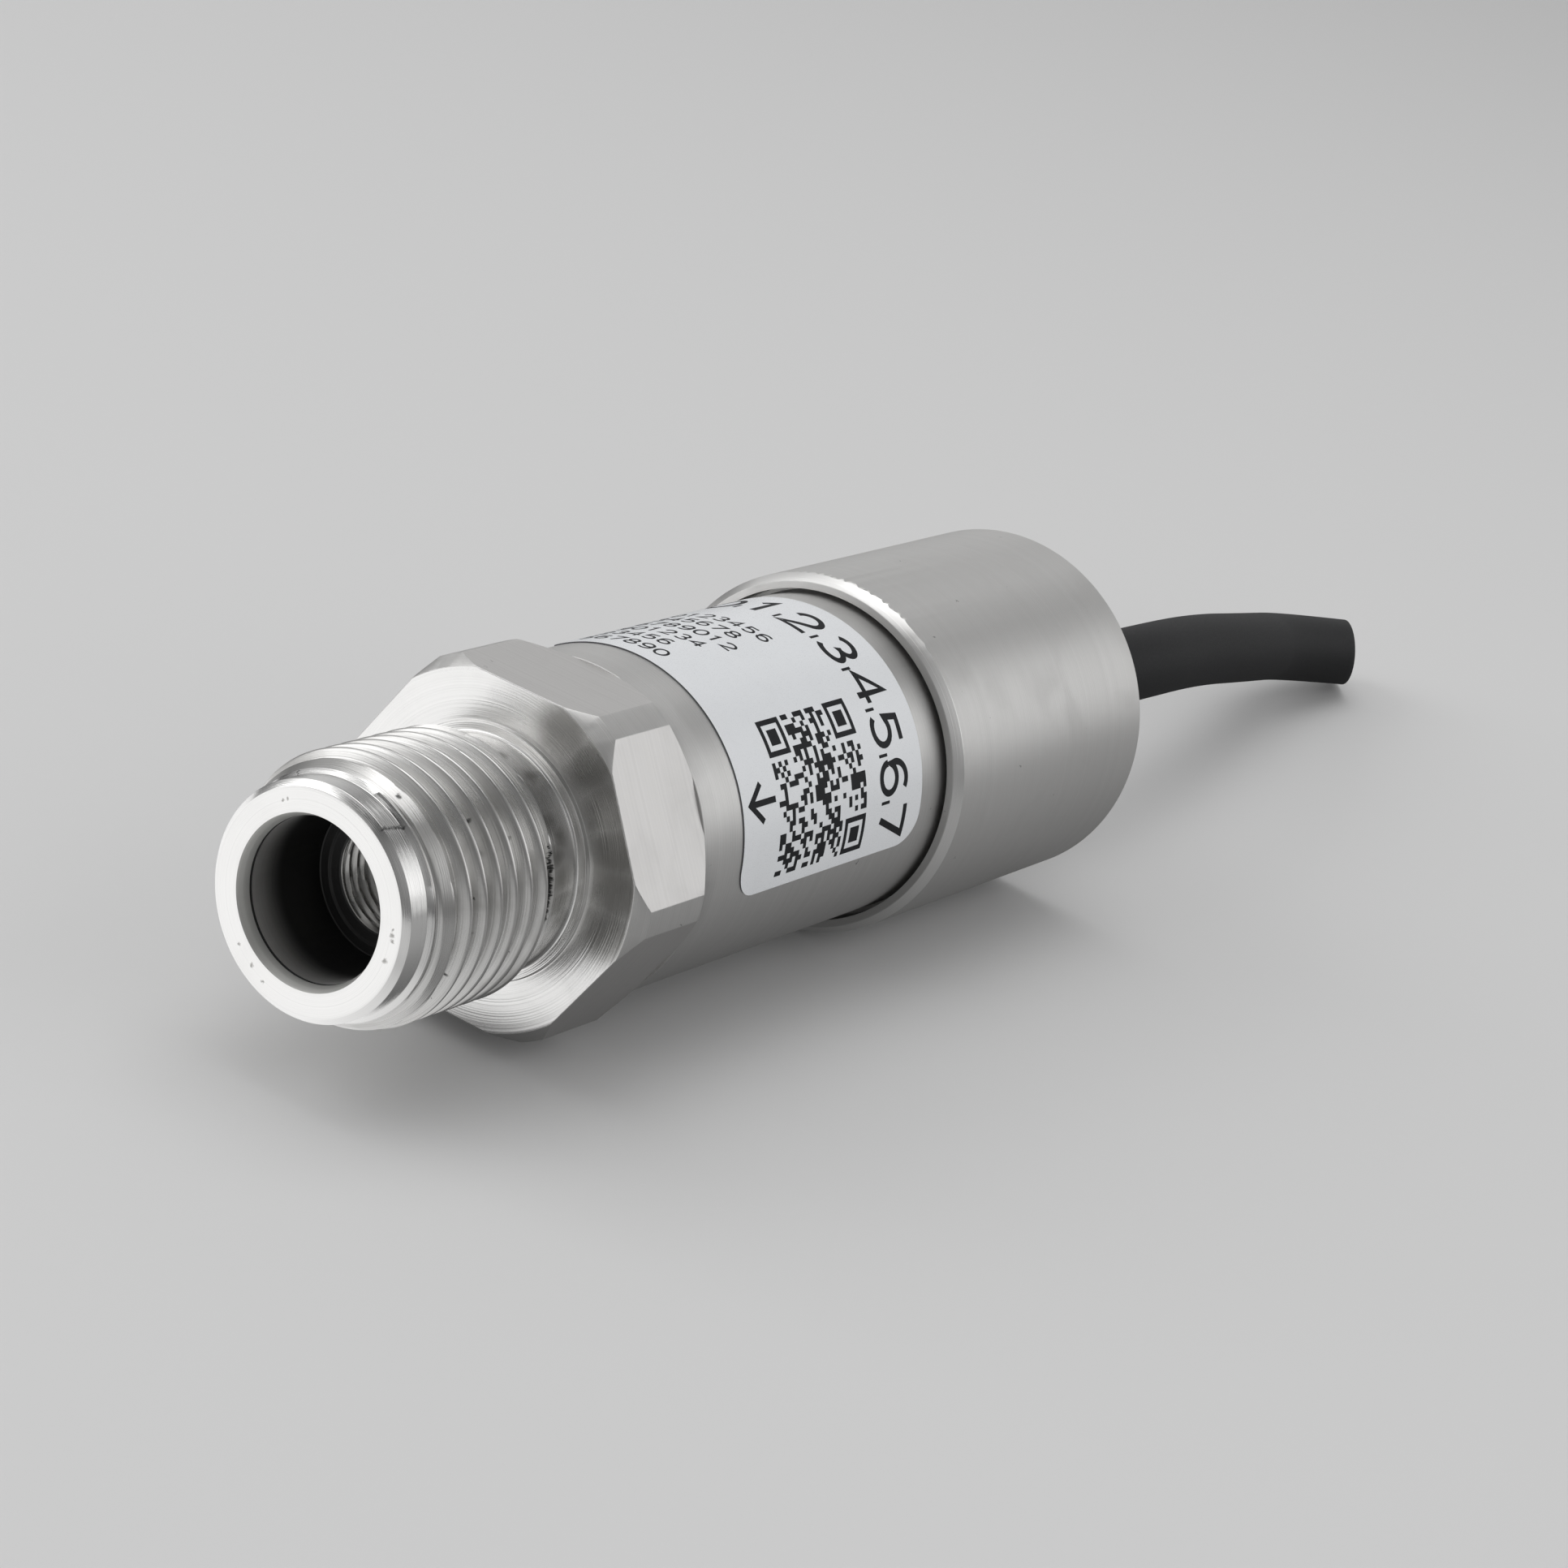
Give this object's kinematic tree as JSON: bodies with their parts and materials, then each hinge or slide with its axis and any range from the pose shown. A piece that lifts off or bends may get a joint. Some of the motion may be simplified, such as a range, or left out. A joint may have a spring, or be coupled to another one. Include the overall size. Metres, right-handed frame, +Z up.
{
  "type": "pressure transmitter",
  "caption": "Cylindrical stainless pressure transmitter with a male pipe thread, hexagon, round cap and a short cable at its rear.",
  "frame": {"origin": "on the surface that the cap rests on, under the middle of the housing (without the cable)", "axes": "+X along the housing's axis from the process connection to the cable, +Z up, one hexagon flat facing straight down"},
  "size_m": [0.1898, 0.0306, 0.0306],
  "materials": {
    "stainless_steel": "turned stainless steel, satin",
    "label_film": "silvery white printed film, satin",
    "diaphragm_steel": "thin stainless foil, bright",
    "capsule_steel": "turned stainless steel",
    "seal_glass": "dark green sealing glass",
    "gold_plate": "gold plated",
    "white_ceramic": "sintered alumina",
    "silicon": "polished silicon",
    "black_rubber": "moulded rubber",
    "natural_nylon": "natural nylon",
    "board_laminate": "green solder mask",
    "black_epoxy": "moulded epoxy",
    "tantalum_yellow": "moulded epoxy",
    "tan_ceramic": "fired ceramic",
    "resistor_black": "glazed",
    "terminal_green": "moulded polyamide",
    "nickel_brass": "nickel plated",
    "cable_jacket": "matt black sheath",
    "brown_insulation": "drawn insulation",
    "blue_insulation": "drawn insulation",
    "tinned_copper": "tinned strands",
    "vent_plastic": "clear white tube"
  },
  "bodies": {
    "root": {"process_connection": "stainless_steel", "rear_cap": "stainless_steel", "label": "label_film", "weld_ring": "stainless_steel", "isolating_diaphragm": "diaphragm_steel", "sensor_capsule": "capsule_steel", "glass_seals": "seal_glass", "header_pins": "gold_plate", "filler_disc": "white_ceramic", "die_pedestal": "seal_glass", "sensing_die": "silicon", "capsule_seal": "black_rubber", "clamp_ring": "capsule_steel", "board_spacer": "natural_nylon", "sensor_board": "board_laminate", "main_board": "board_laminate", "board_links": "gold_plate", "insulating_sleeve": "natural_nylon", "signal_chip": "black_epoxy", "loop_regulator": "black_epoxy", "loop_transistor": "black_epoxy", "tantalum_capacitors": "tantalum_yellow", "ceramic_capacitors": "tan_ceramic", "resistors": "resistor_black", "protection_diodes": "black_epoxy", "terminal_block": "terminal_green", "cap_seal": "black_rubber", "gland_bush": "black_rubber", "gland_washer": "nickel_brass", "gland_screw": "nickel_brass", "cable_tie": "natural_nylon", "cable": "cable_jacket", "supply_core": "brown_insulation", "signal_core": "blue_insulation", "screen_wire": "tinned_copper", "vent_tube": "vent_plastic"}
  },
  "joints": []
}
